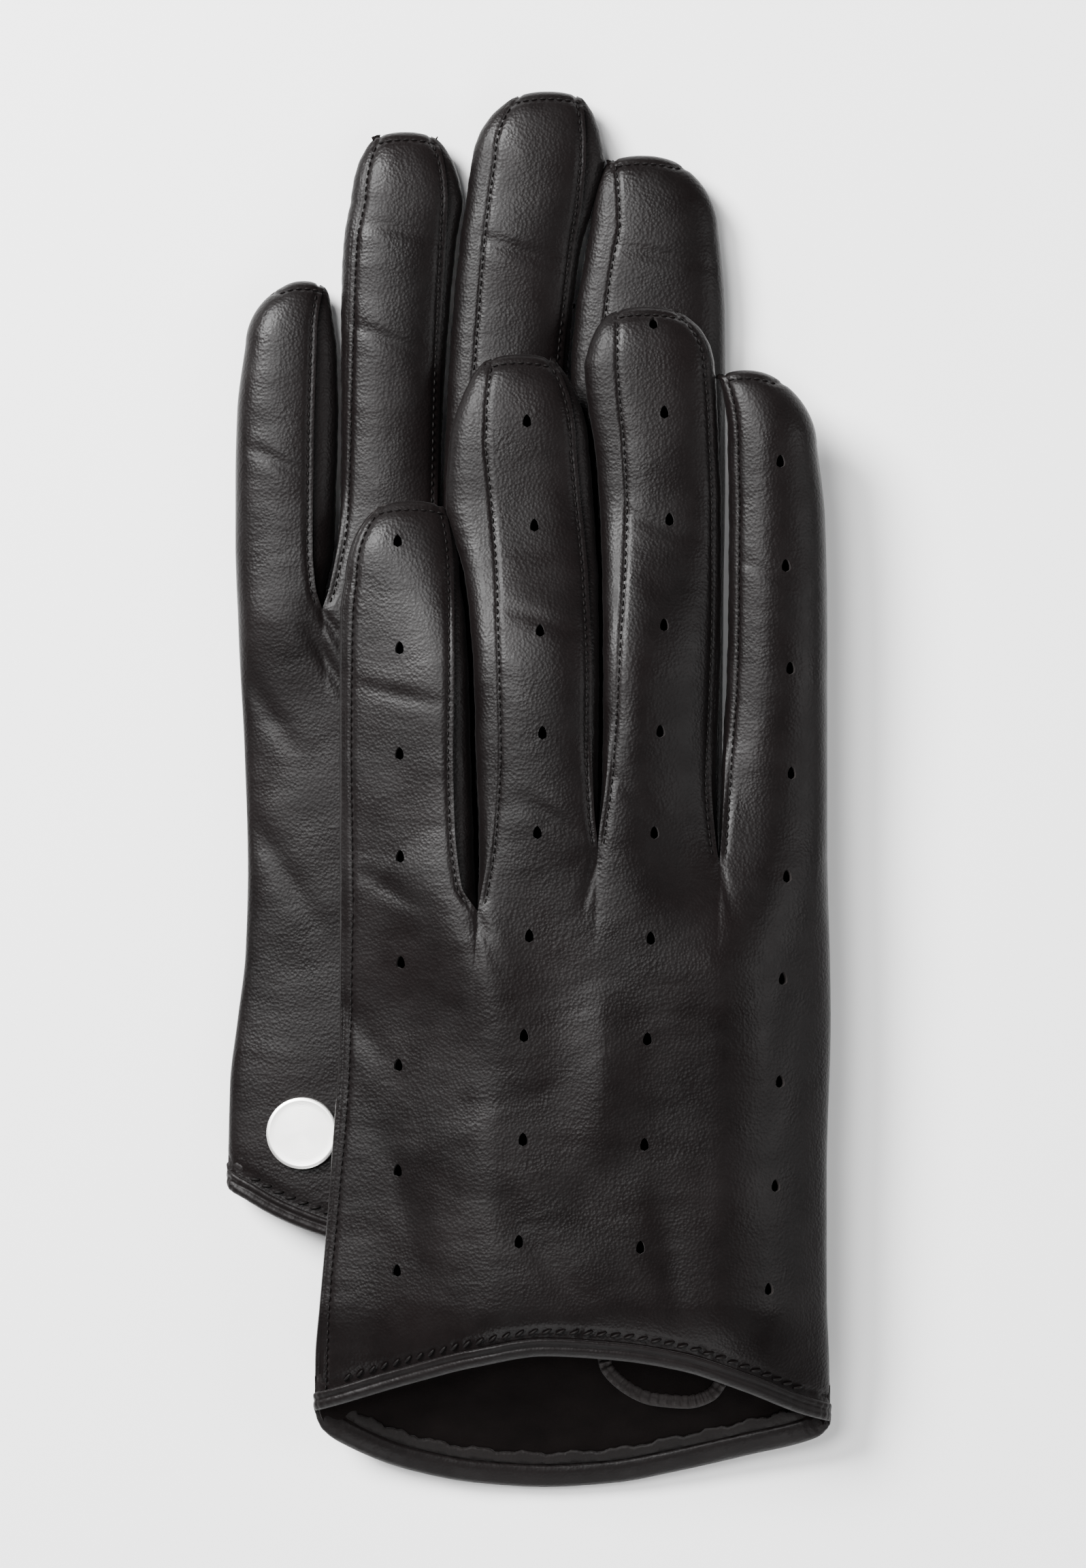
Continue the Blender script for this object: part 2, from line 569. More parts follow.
def leather_material(name, dark, light, rough, grain=1.0, gloss=0.12):
    """Glove leather: two close browns in soft patches, a fine pebbled grain and faint stretch lines."""
    material, make, link, shader, place = new_material(
        name, **{"Specular IOR Level": gloss, "Sheen Weight": 0.02, "Sheen Roughness": 0.4, "IOR": 1.5})
    patches = make("ShaderNodeTexNoise", Scale=55.0, Detail=4.0, Roughness=0.55)
    specks = make("ShaderNodeTexNoise", Scale=900.0, Detail=3.0)
    worn = make("ShaderNodeTexNoise", Scale=140.0, Detail=5.0)
    pebbles = make("ShaderNodeTexVoronoi", feature="SMOOTH_F1", Scale=1900.0, Smoothness=0.35)
    pores = make("ShaderNodeTexNoise", Scale=2600.0, Detail=2.0)
    stretch = make("ShaderNodeMapping", Scale=(0.4, 1.0, 1.0))
    lines = make("ShaderNodeTexNoise", Scale=420.0, Detail=6.0, Roughness=0.6, Distortion=0.5)
    for pattern in (patches, specks, worn, pebbles, pores, stretch):
        link(place, pattern.inputs["Vector"])
    link(stretch.outputs["Vector"], lines.inputs["Vector"])
    both = make("ShaderNodeMath", operation="MULTIPLY_ADD")
    both.inputs[1].default_value = 0.35
    colour = colour_ramp(make, dark, light, 0.35, 0.95)
    link(specks.outputs["Fac"], both.inputs[0])
    link(patches.outputs["Fac"], both.inputs[2])
    link(both.outputs["Value"], colour.inputs["Fac"])
    link(colour.outputs["Color"], shader.inputs["Base Color"])
    sheen = make("ShaderNodeMapRange", **{"From Min": 0.3, "From Max": 0.7,
                                          "To Min": rough - 0.06, "To Max": rough + 0.07})
    link(worn.outputs["Fac"], sheen.inputs["Value"])
    link(sheen.outputs["Result"], shader.inputs["Roughness"])
    below = None
    for height, strength, depth in ((lines.outputs["Fac"], 0.30, 0.00010),
                                    (pebbles.outputs["Distance"], 0.50, 0.00009),
                                    (pores.outputs["Fac"], 0.20, 0.00003)):
        bump = make("ShaderNodeBump", Strength=strength * grain, Distance=depth)
        link(height, bump.inputs["Height"])
        if below:
            link(below.outputs["Normal"], bump.inputs["Normal"])
        below = bump
    link(below.outputs["Normal"], shader.inputs["Normal"])
    return material


def suede_material():
    """The leather's flesh side: matt, with a short nap."""
    material, make, link, shader, place = new_material(
        "suede_inside", **{"Roughness": 0.95, "Specular IOR Level": 0.05})
    nap = make("ShaderNodeTexNoise", Scale=1300.0, Detail=5.0, Roughness=0.7)
    drag = make("ShaderNodeTexNoise", Scale=160.0, Detail=4.0)
    colour = colour_ramp(make, (0.0016, 0.0012, 0.0012), (0.0058, 0.0044, 0.0042))
    fur = make("ShaderNodeBump", Strength=0.6, Distance=0.00015)
    link(place, nap.inputs["Vector"])
    link(place, drag.inputs["Vector"])
    link(drag.outputs["Fac"], colour.inputs["Fac"])
    link(colour.outputs["Color"], shader.inputs["Base Color"])
    link(nap.outputs["Fac"], fur.inputs["Height"])
    link(fur.outputs["Normal"], shader.inputs["Normal"])
    return material


def thread_material():
    """Waxed dark thread, with its twist."""
    material, make, link, shader, place = new_material(
        "thread", **{"Roughness": 0.6, "Specular IOR Level": 0.10})
    twist = make("ShaderNodeTexWave", Scale=2600.0, Distortion=1.0)
    colour = colour_ramp(make, (0.0010, 0.0007, 0.0007), (0.0040, 0.0030, 0.0029))
    link(place, twist.inputs["Vector"])
    link(twist.outputs["Fac"], colour.inputs["Fac"])
    link(colour.outputs["Color"], shader.inputs["Base Color"])
    return material


def rivet_material(name, centre):
    """Bright nickel with a face turned in fine rings about the rivet's centre."""
    material, make, link, shader, place = new_material(name, Metallic=1.0)
    centred = make("ShaderNodeMapping", vector_type="POINT", Location=[-c for c in centre])
    radius = make("ShaderNodeVectorMath", operation="LENGTH")
    rings = make("ShaderNodeMath", operation="MULTIPLY")
    rings.inputs[1].default_value = 2 * math.pi / 0.00016
    wave = make("ShaderNodeMath", operation="SINE")
    turned = make("ShaderNodeBump", Strength=0.12, Distance=0.00002)
    link(place, centred.inputs["Vector"])
    link(centred.outputs["Vector"], radius.inputs[0])
    link(radius.outputs["Value"], rings.inputs[0])
    link(rings.outputs["Value"], wave.inputs[0])
    link(wave.outputs["Value"], turned.inputs["Height"])
    link(turned.outputs["Normal"], shader.inputs["Normal"])
    smears = make("ShaderNodeTexNoise", Scale=380.0, Detail=4.0)
    colour = colour_ramp(make, (0.80, 0.79, 0.76), (0.92, 0.91, 0.89))
    rough = make("ShaderNodeMapRange", **{"To Min": 0.36, "To Max": 0.52})
    link(place, smears.inputs["Vector"])
    link(smears.outputs["Fac"], colour.inputs["Fac"])
    link(colour.outputs["Color"], shader.inputs["Base Color"])
    link(smears.outputs["Fac"], rough.inputs["Value"])
    link(rough.outputs["Result"], shader.inputs["Roughness"])
    return material


SKIN = leather_material("glove_leather", (0.0017, 0.0012, 0.0012), (0.0040, 0.0028, 0.0028), 0.39)
GUSSET = leather_material("fourchette_leather", (0.0017, 0.0012, 0.0012), (0.0038, 0.0027, 0.0027), 0.42, 1.2)
EDGE = leather_material("cut_edge", (0.0034, 0.0025, 0.0024), (0.0110, 0.0080, 0.0076), 0.75, 1.6, 0.3)
BOUND = leather_material("binding_leather", (0.0019, 0.0014, 0.0014), (0.0046, 0.0033, 0.0033), 0.50, 0.9)
TURNED = leather_material("turned_edge", (0.0021, 0.0016, 0.0015), (0.0058, 0.0042, 0.0040), 0.66, 1.4, 0.16)
SUEDE = suede_material()
WAXED = thread_material()


# ---------------------------------------------------------------- the two faces of a glove
def hand_levels(glove):
    """y of the hand's rows from the highest finger root down to where the rows start to follow the hem."""
    low = min(glove.split) - 2.2
    levels = set(round(v, 3) for v in np.arange(max(glove.split), low, -ROW))
    levels = [v for v in levels if all(abs(v - s) > 0.25 for s in glove.split)]
    return sorted(set(levels + [round(s, 3) for s in glove.split] + [round(low, 3)]), reverse=True)


def band_columns(glove, i, y, is_back):
    """x of each column of band i at y."""
    low, high = glove.band(i, y, lapped=is_back)
    return across(low, high, i > LITTLE or is_back, i < INDEX)


def punch(x, y, keep, centre):
    """Opens a hole: the cells about the nearest point go, and their outline becomes its edge."""
    far = (x - centre[0]) ** 2 + (y - centre[1]) ** 2
    r, c = np.unravel_index(np.argmin(far), far.shape)
    if far[r, c] > 1.6 or not (3 <= r < x.shape[0] - 3 and 2 <= c < x.shape[1] - 2):
        return
    keep[r - 2:r + 2, c - 1:c + 1] = False
    down = 1 if y[r + 1, c] > y[r, c] else -1
    for dr in range(-2, 3):
        for dc in (-1, 0, 1):
            if abs(dr) < 2 and dc == 0:
                continue
            angle = math.atan2(down * dr / 2, dc)
            x[r + dr, c + dc] = centre[0] + HOLE[0] * math.cos(angle) * (1 - 0.3 * math.sin(angle))
            y[r + dr, c + dc] = centre[1] + HOLE[1] * math.sin(angle)


def grooves(glove, i, x, y, is_back):
    """Depth of the seam grooves in band i."""
    low, high = glove.band(i, y, lapped=is_back)
    depth = np.zeros_like(x)
    if i > LITTLE or is_back:
        fork = glove.forks[i - 1][0][0] if i > LITTLE else -1e3
        depth += seam_groove(x - low, y) * smooth((y - fork) / 2.5)
    if i < INDEX:
        depth += seam_groove(high - x, y) * smooth((y - glove.forks[i][0][0]) / 2.5)
    depth += 0.25 * np.exp(-((glove.fingers[i].tip[1] - TIP_ROW - y) / 0.4) ** 2)
    above_hem = y - (glove.back_hem(x) if is_back else glove.palm_hem(x))
    stitched = 0.42 + 0.24 * np.cos(2 * math.pi * (x + 0.4 * above_hem) / HEM_STITCH)
    beside_binding = 0.2 * np.exp(-((above_hem - BINDING - 0.2) / 0.3) ** 2)
    return depth + stitched * np.exp(-((above_hem - HEM_ROW) / 0.5) ** 2) + beside_binding


def build_face(side, is_back):
    """The back or the palm of a glove: its hand and its four finger strips."""
    glove = GLOVES[side]
    face = glove.sign if is_back else -glove.sign
    hem = glove.back_hem if is_back else glove.palm_hem
    word = "back" if is_back else "palm"
    grids = []                      # (part, x, y, z, keep, groove, which way it faces)
    holes = [(hx + glove.shift[0], hy + glove.shift[1], i)
             for i in range(4) for hx, hy in HOLES[i]] if is_back else []

    def add(part, i, x, y, face_sign, inset=None):
        keep = np.ones((x.shape[0] - 1, x.shape[1] - 1), bool)
        if inset is None:
            for hx, hy, owner in holes:
                if owner == i:
                    punch(x, y, keep, (hx, hy))
        z = glove.height(i, x, y, face_sign, 0.0 if inset is None else inset)
        groove = grooves(glove, i, x, y, is_back) if inset is None else np.zeros_like(x)
        rounded = y if part == "hand" else glove.fingers[i].rounded(x, y)
        grids.append((part, x, rounded, z, keep, groove, face_sign))

    levels = hand_levels(glove)
    ratio = np.linspace(0, 1, 108)[1:]
    for i in range(4):
        f = glove.fingers[i]
        rows = tip_rows(f, glove.split[i])
        x = band_columns(glove, i, rows, is_back)
        add(i, i, x, np.repeat(rows[:, None], x.shape[1], 1), face)
        top = np.array([v for v in levels if v <= glove.split[i] + 1e-6])[::-1]
        upper_x = band_columns(glove, i, top, is_back)
        upper_y = np.repeat(top[:, None], upper_x.shape[1], 1)
        y = levels[-1] + (HEM_NEAR["left"] + glove.shift[1] - levels[-1]) * ratio[:, None]
        y = np.repeat(y, upper_x.shape[1], 1)
        for _ in range(4):
            x = np.stack([band_columns(glove, i, y[:, c], is_back)[:, c] for c in range(y.shape[1])], axis=1)
            y = levels[-1] + (hem(x) - levels[-1]) * ratio[:, None]
        add("hand", i, np.concatenate([x[::-1], upper_x]), np.concatenate([y[::-1], upper_y]), face)
    if not is_back:
        # the palm's leather comes round the little-finger side and under the back's lapped edge
        wrap = 1 - np.cos(np.linspace(0, math.pi / 2, 8))
        for part in (LITTLE, "hand"):
            source = next(g for g in grids if g[0] == part)
            y = np.repeat(source[2][:, :1], len(wrap), 1)
            outline = glove.band(LITTLE, y, lapped=False)[0]
            lap = glove.band(LITTLE, y, lapped=True)[0]
            x = outline + (lap + 1.3 - outline) * wrap[None, :]
            add(part, LITTLE, x, y, -face, inset=0.7 * smooth((x - outline) / 1.0))

    points, faces, parts, groove = [], [], [], []
    base = 0
    for part, x, y, z, keep, deep, sign in grids:
        rows, cols = x.shape
        points.append(np.stack([x, y, z], axis=-1).reshape(-1, 3))
        groove.append(deep.ravel())
        r, c = np.nonzero(keep)
        a = base + r * cols + c
        quad = np.stack([a, a + 1, a + cols + 1, a + cols], axis=1)
        turned = (sign < 0) != (x[0, 0] > x[0, -1])
        faces.append(quad[:, ::-1] if turned else quad)
        parts += [part] * len(quad)
        base += rows * cols
    points, faces = np.concatenate(points), np.concatenate(faces)
    groove = np.concatenate(groove)
    normals = vertex_normals(points, faces)
    points = points - normals * groove[:, None]
    points = soften(side, points, normals)
    if side == "right":
        points[:, 2] = np.maximum(points[:, 2], TABLE)
    normals = vertex_normals(points, faces)
    parts = np.array([str(p) for p in parts])
    make_piece(f"{side}_{word}_leather", points, faces[parts == "hand"], normals, LEATHER,
               [SKIN, SUEDE, EDGE], f"{side}_hand", [f"{side}_{word}_panel"])
    for i, name in enumerate(FINGERS):
        nodes = [f"{side}_{name}_{word}_strip"] + lower_nodes(side, f"{word}_strips")
        make_piece(f"{side}_{name}_{word}_leather", points, faces[parts == str(i)], normals, LEATHER,
                   [SKIN, SUEDE, EDGE], f"{side}_hand", nodes, joint_blend(side, i))


def lower_nodes(side, what):
    """The CAD node of the fingers' lower ends, which only the right glove has."""
    return [f"right_{what}_lower"] if side == "right" else []


def joint_blend(side, i):
    """The other body and the two points between which finger i's leather bends."""
    name = FINGERS[i]
    if side == "left":
        x, y, z = JOINT_AT[f"left_{name}_knuckle"]
        return (f"left_{name}_finger", (x * MM, (y + 0.3) * MM, z * MM), (x * MM, (y + 9) * MM, z * MM))
    x, y, z = JOINT_AT[f"right_{name}_curl"]
    return (f"right_{name}_fingertip", (x * MM, (y - 5) * MM, z * MM), (x * MM, (y + 7) * MM, z * MM))


# ---------------------------------------------------------------- fourchettes
def build_fourchette(side, i, inner):
    """The strip down one side of a finger, from the back's lapped edge round to the palm's."""
    glove = GLOVES[side]
    f = glove.fingers[i]
    fork = glove.forks[i if inner else i - 1][0][0]
    rows = tip_rows(f, fork + 0.05)
    e = f.edges(rows)
    lap, out, into = (e[2], e[3], -1) if inner else (e[1], e[0], 1)
    turn = np.linspace(0, 1, 13)
    start = lap + into * np.minimum(0.8, np.abs(e[2] - e[1]) / 8)
    upper = glove.height(i, start, rows, 1) - 0.8
    lower = glove.height(i, start, rows, -1) + 0.8
    meet = (upper < lower)
    upper[meet] = lower[meet] = ((upper + lower) / 2)[meet]
    side_way = np.sin(math.pi * turn) ** 0.72
    x = start[:, None] + (out - start)[:, None] * side_way[None, :]
    down = 0.5 - 0.5 * np.cos(math.pi * turn)
    z = upper[:, None] + (lower - upper)[:, None] * (0.45 * down + 0.55 * turn)[None, :]
    y = f.rounded(x, np.repeat(rows[:, None], len(turn), 1))
    points = np.stack([x, y, z], axis=-1).reshape(-1, 3)
    faces = grid_faces(*x.shape)
    if not inner:
        faces = faces[:, ::-1]
    normals = vertex_normals(points, faces)
    ripple = 0.04 * np.sin(2 * math.pi * points[:, 1] / 9.3 + 2 * i) + 0.03 * np.sin(points[:, 1] * 2.1 + i)
    fade = np.repeat(side_way[None, :], len(rows), 0).ravel()
    points = soften(side, points, normals, 0.25) + normals * (ripple * fade)[:, None]
    normals = vertex_normals(points, faces)
    word = "inner" if inner else "outer"
    name = f"{side}_{FINGERS[i]}_fourchette_{word}"
    make_piece(name, points, faces, normals, FORK_LEATHER, [GUSSET, SUEDE, EDGE], f"{side}_hand",
               [name] + lower_nodes(side, "fourchettes"), joint_blend(side, i))


# ---------------------------------------------------------------- threads
def surface_frame(glove, i, x, y, face):
    """Points on the leather, and its normals there."""
    d = 0.25
    z = glove.height(i, x, y, face)
    dzx = (glove.height(i, x + d, y, face) - glove.height(i, x - d, y, face)) / (2 * d)
    dzy = (glove.height(i, x, y + d, face) - glove.height(i, x, y - d, face)) / (2 * d)
    dzx, dzy = np.clip(dzx, -3, 3), np.clip(dzy, -3, 3)
    normal = np.stack([-dzx, -dzy, np.ones_like(z)], axis=-1) * face
    return np.stack([x, y, z], axis=-1), unit(normal)


def stitch_shape(length, width):
    """One stitch lying along x, flat underneath: a few dozen faces."""
    rings = [(-0.5, 0.0, -0.35), (-0.36, 0.75, 0.0), (0.0, 1.0, 0.22), (0.36, 0.75, 0.0),
             (0.5, 0.0, -0.35)]
    points, faces = [], []
    for x, r, lift in rings:
        for k in range(6):
            a = math.pi * k / 3
            points.append((x * length, r * width / 2 * math.cos(a), (r * math.sin(a) / 2 + lift) * width))
    for r in range(len(rings) - 1):
        for k in range(6):
            a, b = r * 6 + k, r * 6 + (k + 1) % 6
            faces.append((a, a + 6, b + 6, b))
    return np.array(points), np.array(faces)


class Threads:
    """All the stitches of one body, gathered into one piece."""

    def __init__(self):
        self.points, self.faces, self.count = [], [], 0

    def row(self, side, where, normal, length=1.15, width=THREAD * 1.3, slant=0.0, pitch=STITCH,
            amount=1.0):
        """Stitches along a line of points on the leather, one every pitch."""
        where = soften(side, where, normal, amount)
        step = np.linalg.norm(np.diff(where, axis=0), axis=1)
        run = np.concatenate([[0], np.cumsum(step)])
        if run[-1] < pitch:
            return
        at = np.arange(pitch / 2, run[-1], pitch)
        place = np.stack([np.interp(at, run, where[:, k]) for k in range(3)], axis=1)
        up = np.stack([np.interp(at, run, normal[:, k]) for k in range(3)], axis=1)
        ahead = np.stack([np.interp(at + 0.3, run, where[:, k]) - np.interp(at - 0.3, run, where[:, k])
                          for k in range(3)], axis=1)
        shape, quads = stitch_shape(length, width)
        for p, n, t in zip(place, up, ahead):
            n = n / np.linalg.norm(n)
            t = t - n * (t @ n)
            t = t / max(np.linalg.norm(t), 1e-9)
            s = np.cross(n, t)
            t2 = t * math.cos(slant) + s * math.sin(slant)
            s2 = np.cross(n, t2)
            body = p + shape[:, :1] * t2 + shape[:, 1:2] * s2 + (shape[:, 2:] + 0.02) * n
            body[:, 2] += max(0.0, 0.03 - body[:, 2].min())
            self.points.append(body)
            self.faces.append(quads + self.count)
            self.count += len(shape)

    def make(self, name, body, blend=None):
        """Turns the stitches into the piece that rides on body."""
        faces = np.concatenate(self.faces).tolist()
        piece = add_mesh(name, np.concatenate(self.points), faces, [WAXED])
        clean(piece)
        piece.data.shade_smooth()
        finish_piece(piece, body, (), blend)


def clean(piece):
    """Merges doubles and drops faces with no area."""
    bpy.ops.object.select_all(action="DESELECT")
    bpy.context.view_layer.objects.active = piece
    piece.select_set(True)
    bpy.ops.object.mode_set(mode="EDIT")
    bpy.ops.mesh.select_all(action="SELECT")
    bpy.ops.mesh.remove_doubles(threshold=2e-6)
    bpy.ops.mesh.dissolve_degenerate(threshold=1e-7)
    bpy.ops.mesh.select_all(action="SELECT")
    bpy.ops.mesh.normals_make_consistent(inside=False)
    bpy.ops.object.mode_set(mode="OBJECT")
    piece.select_set(False)


def finger_threads(side, i):
    """The seams down both sides of a finger, on both faces, and the short one across its tip."""
    glove = GLOVES[side]
    f = glove.fingers[i]
    threads = Threads()
    for face in (1, -1):
        is_back = face == glove.sign
        for inner in (False, True):
            outside = i == LITTLE and not inner
            if (outside and not is_back) or (i == INDEX and inner):
                continue
            fork = glove.split[i] if outside else glove.forks[i if inner else i - 1][0][0]
            y = np.arange(fork + 1.0, f.tip[1] - 1.6, 0.5)
            e = f.edges(y)
            x = e[2] - SEAM_IN if inner else e[1] + SEAM_IN
            where, normal = surface_frame(glove, i, x, y, face)
            where[:, 1] = f.rounded(x, y)
            threads.row(side, where - normal * 0.2, normal)
        row = f.tip[1] - TIP_ROW
        end = f.edges(row)
        x = np.linspace(end[1] + 1.0, end[2] - 1.0, 24)
        where, normal = surface_frame(glove, i, x, np.full_like(x, row), face)
        where[:, 1] = f.rounded(x, where[:, 1])
        threads.row(side, where - normal * 0.15, normal)
    threads.make(f"{side}_{FINGERS[i]}_stitches", f"{side}_hand", joint_blend(side, i))


def hand_threads(side):
    """The side seam below the fingers, and the stitches round the cuff."""
    glove = GLOVES[side]
    threads = Threads()
    back = glove.sign
    low = glove.back_hem(glove.seam(SEAM_ENDS[side])) + BINDING
    y = np.arange(glove.split[LITTLE] - 0.5, low, -0.5)
    where, normal = surface_frame(glove, LITTLE, glove.seam(y) + SEAM_IN, y, back)
    threads.row(side, where - normal * 0.2, normal)
    for face, hem in ((back, glove.back_hem), (-back, glove.palm_hem)):
        middle_x = (glove.outer(CUFF_LEVEL) + glove.fold(CUFF_LEVEL)) / 2
        half = (glove.fold(CUFF_LEVEL) - glove.outer(CUFF_LEVEL)) / 2 - HEM_FREE
        x = middle_x + half * np.linspace(-1, 1, 120)
        y = hem(x) + HEM_ROW
        where, normal = np.empty((len(x), 3)), np.empty((len(x), 3))
        for i in range(4):
            a, b = glove.band(i, y)
            inside = (x >= a) & (x <= b) if i < INDEX else x >= a
            w, n = surface_frame(glove, i, x, y, face)
            where[inside], normal[inside] = w[inside], n[inside]
            if i == LITTLE:
                where[x < a], normal[x < a] = w[x < a], n[x < a]
        threads.row(side, where, normal, length=2.1, width=0.58, slant=0.5 * face, pitch=HEM_STITCH)
    threads.make(f"{side}_hand_stitches", f"{side}_hand")


# ---------------------------------------------------------------- cuff
# The binding's section, as (height above the leather, distance past the cuff's edge)
BINDING_PROFILE = [(0.02, -BINDING - 0.2), (0.36, -BINDING - 0.1), (0.58, -1.75), (0.60, -1.4), (0.42, -1.05),
                   (0.10, -0.75), (0.34, -0.45), (0.56, -0.05), (0.56, 0.35), (0.30, 0.85), (-0.25, 1.15),
                   (-0.95, 1.1), (-1.55, 0.6), (-1.9, -0.3), (-1.95, -1.4), (-1.8, -2.4), (-1.4, -2.9),
                   (-0.95, -3.0), (-1.5, -3.2), (-1.72, -3.7), (-1.62, -4.6), (-1.45, -5.2), (-0.85, -5.3),
                   (-0.6, -3.0), (-0.4, -0.2)]
RAW_EDGE = (17, 22)       # the part of the section that is its raw edge
OUTSIDE = slice(2, 16)    # the part that shows outside, and ripples
RAGGED = slice(19, 23)    # the part that is cut unevenly


def evened(vectors, times):
    """Unit vectors round a loop, each averaged with its neighbours."""
    for _ in range(times):
        vectors = unit(np.roll(vectors, 1, axis=0) + vectors + np.roll(vectors, -1, axis=0))
    return vectors


def build_binding(side):
    """A strip of leather rolled over the cuff's edge, with its raw edge turned inside."""
    glove = GLOVES[side]
    loop = []
    swing = np.linspace(-math.pi / 2, math.pi / 2, 121)
    for face, hem, order in ((glove.sign, glove.back_hem, 1), (-glove.sign, glove.palm_hem, -1)):
        y = np.full_like(swing, HEM_NEAR[side])
        for _ in range(3):
            a, b = glove.outer(y), glove.fold(y)
            x = (a + b) / 2 + (b - a) / 2 * np.sin(swing) * 0.9995
            y = hem(x)
        frames = []
        for k in range(len(x)):
            i = next((j for j in range(3) if x[k] < glove.fork_x(j, y[k])), 3)
            one_x, one_y = np.array([x[k]]), np.array([y[k]])
            p = surface_frame(glove, i, one_x, one_y, face)[0][0]
            frames.append((p, abs(p[2] - middle(side, one_x, one_y)[0])))
        frames = frames[::order]
        loop += frames[:-1]
    centre = np.array([p for p, _ in loop])
    along = unit(np.roll(centre, -1, axis=0) - np.roll(centre, 1, axis=0))
    radial = centre - centre.mean(axis=0)
    flat_normal = np.cross(along, (0.0, 1.0, 0.0))
    flat_normal *= np.sign(np.sum(flat_normal * radial, axis=1))[:, None]
    flat_normal = evened(unit(flat_normal), 3)
    outwards = np.cross(along, flat_normal)
    outwards *= np.sign(outwards[:, 1] * -1)[:, None]
    on_face = smooth(np.abs(flat_normal[:, 2:]) * 1.6 - 0.5)
    outwards = evened(outwards * on_face + np.array([0.0, -1.0, 0.0]) * (1 - on_face), 4)
    centre = soften(side, centre, flat_normal)
    room = np.clip((np.array([r for _, r in loop])[:, None] - 0.3) / 2.4, 0.03, 1.0)
    points = np.stack([centre + a * (room if a < 0 else 0.4 + 0.6 * room) * flat_normal + b * outwards
                       for a, b in BINDING_PROFILE], axis=1)
    points[:, :, 2] += middle(side, points[:, :, 0], points[:, :, 1])
    points[:, :, 2] -= middle(side, centre[:, :1], centre[:, 1:2])
    step = np.arange(len(centre))[:, None]
    wave = 0.06 * np.sin(step * 1.7) + 0.05 * np.sin(step * 0.41)
    points[:, OUTSIDE, :] += (flat_normal * wave)[:, None, :]
    ragged = 0.3 * np.sin(step * 0.83) + 0.2 * np.sin(step * 2.3)
    points[:, RAGGED, :] += (outwards * ragged)[:, None, :]
    if side == "right":
        points[:, :, 2] = np.maximum(points[:, :, 2], 0.03)
    rows, cols = points.shape[:2]
    faces = [(r * cols + c, ((r + 1) % rows) * cols + c, ((r + 1) % rows) * cols + (c + 1) % cols,
              r * cols + (c + 1) % cols) for r in range(rows) for c in range(cols)]
    piece = add_mesh(f"{side}_cuff_binding_roll", points, faces, [BOUND, TURNED])
    for face in piece.data.polygons:
        places = [v % cols for v in face.vertices]
        face.material_index = int(min(places) >= RAW_EDGE[0] and max(places) <= RAW_EDGE[1])
    clean(piece)
    piece.data.shade_smooth()
    finish_piece(piece, f"{side}_hand", [f"{side}_cuff_binding"])


# ---------------------------------------------------------------- thumbs
THUMB_AT = {"left": (27.6, -108.2, 0.0), "right": (6.6, -68.6, -9.0)}   # root x, root y, lean
HOLE_LINE = [(12.4, -97.5), (12.9, -101.7), (16.0, -105.6), (21.5, -108.3), (27.3, -108.8),
             (31.6, -107.4), (33.9, -103.0), (34.3, -98.5)]
HOLE_SEAM = [(-1.3, -0.1), (-1.2, 0.5), (-0.7, 1.05), (-0.15, 0.75), (0.15, 0.7), (0.6, 1.15),
             (1.2, 0.7), (1.4, -0.1)]           # its section, as (distance across, height)


def thumb_size(t):
    """Share of the thumb's width at t, from its root at 0 to its tip at 1."""
    return (1 - np.abs(2 * t - 1) ** 3.2) ** (1 / 2.4) * 0.96 + 0.12


def thumb_surface(side, t, angle):
    """A point of the flattened thumb: angle 0 at +x, 90 towards the palm."""
    glove = GLOVES[side]
    x0, y0, lean = THUMB_AT[side]
    t, angle = np.broadcast_arrays(t, angle)
    size = thumb_size(t)
    c, s = np.cos(angle), np.sin(angle)
    x = x0 + lean * t + THUMB_W / 2 * size * np.sign(c) * np.abs(c) ** (2 / SQUARE)
    y = y0 + THUMB_LONG * t
    palm = middle(side, x, y) - glove.sign * HALF * glove.across_hand(x, y)
    half = THUMB_H / 2 * np.minimum(1, size)
    depth = THUMB_GAP + half - half * np.sign(s) * np.abs(s) ** (2 / SQUARE)
    return np.stack([x, y, palm - glove.sign * depth], axis=-1)


def thumb_axis(side, t):
    """The middle of the thumb at each t."""
    return thumb_surface(side, t[:, None], np.array([[0.0, math.pi]])).mean(axis=1)


def grid_faces(rows, cols):
    """The four-cornered faces of a grid of points, row by row."""
    r, c = np.divmod(np.arange((rows - 1) * (cols - 1)), cols - 1)
    a = r * cols + c
    return np.stack([a, a + 1, a + cols + 1, a + cols], axis=1)


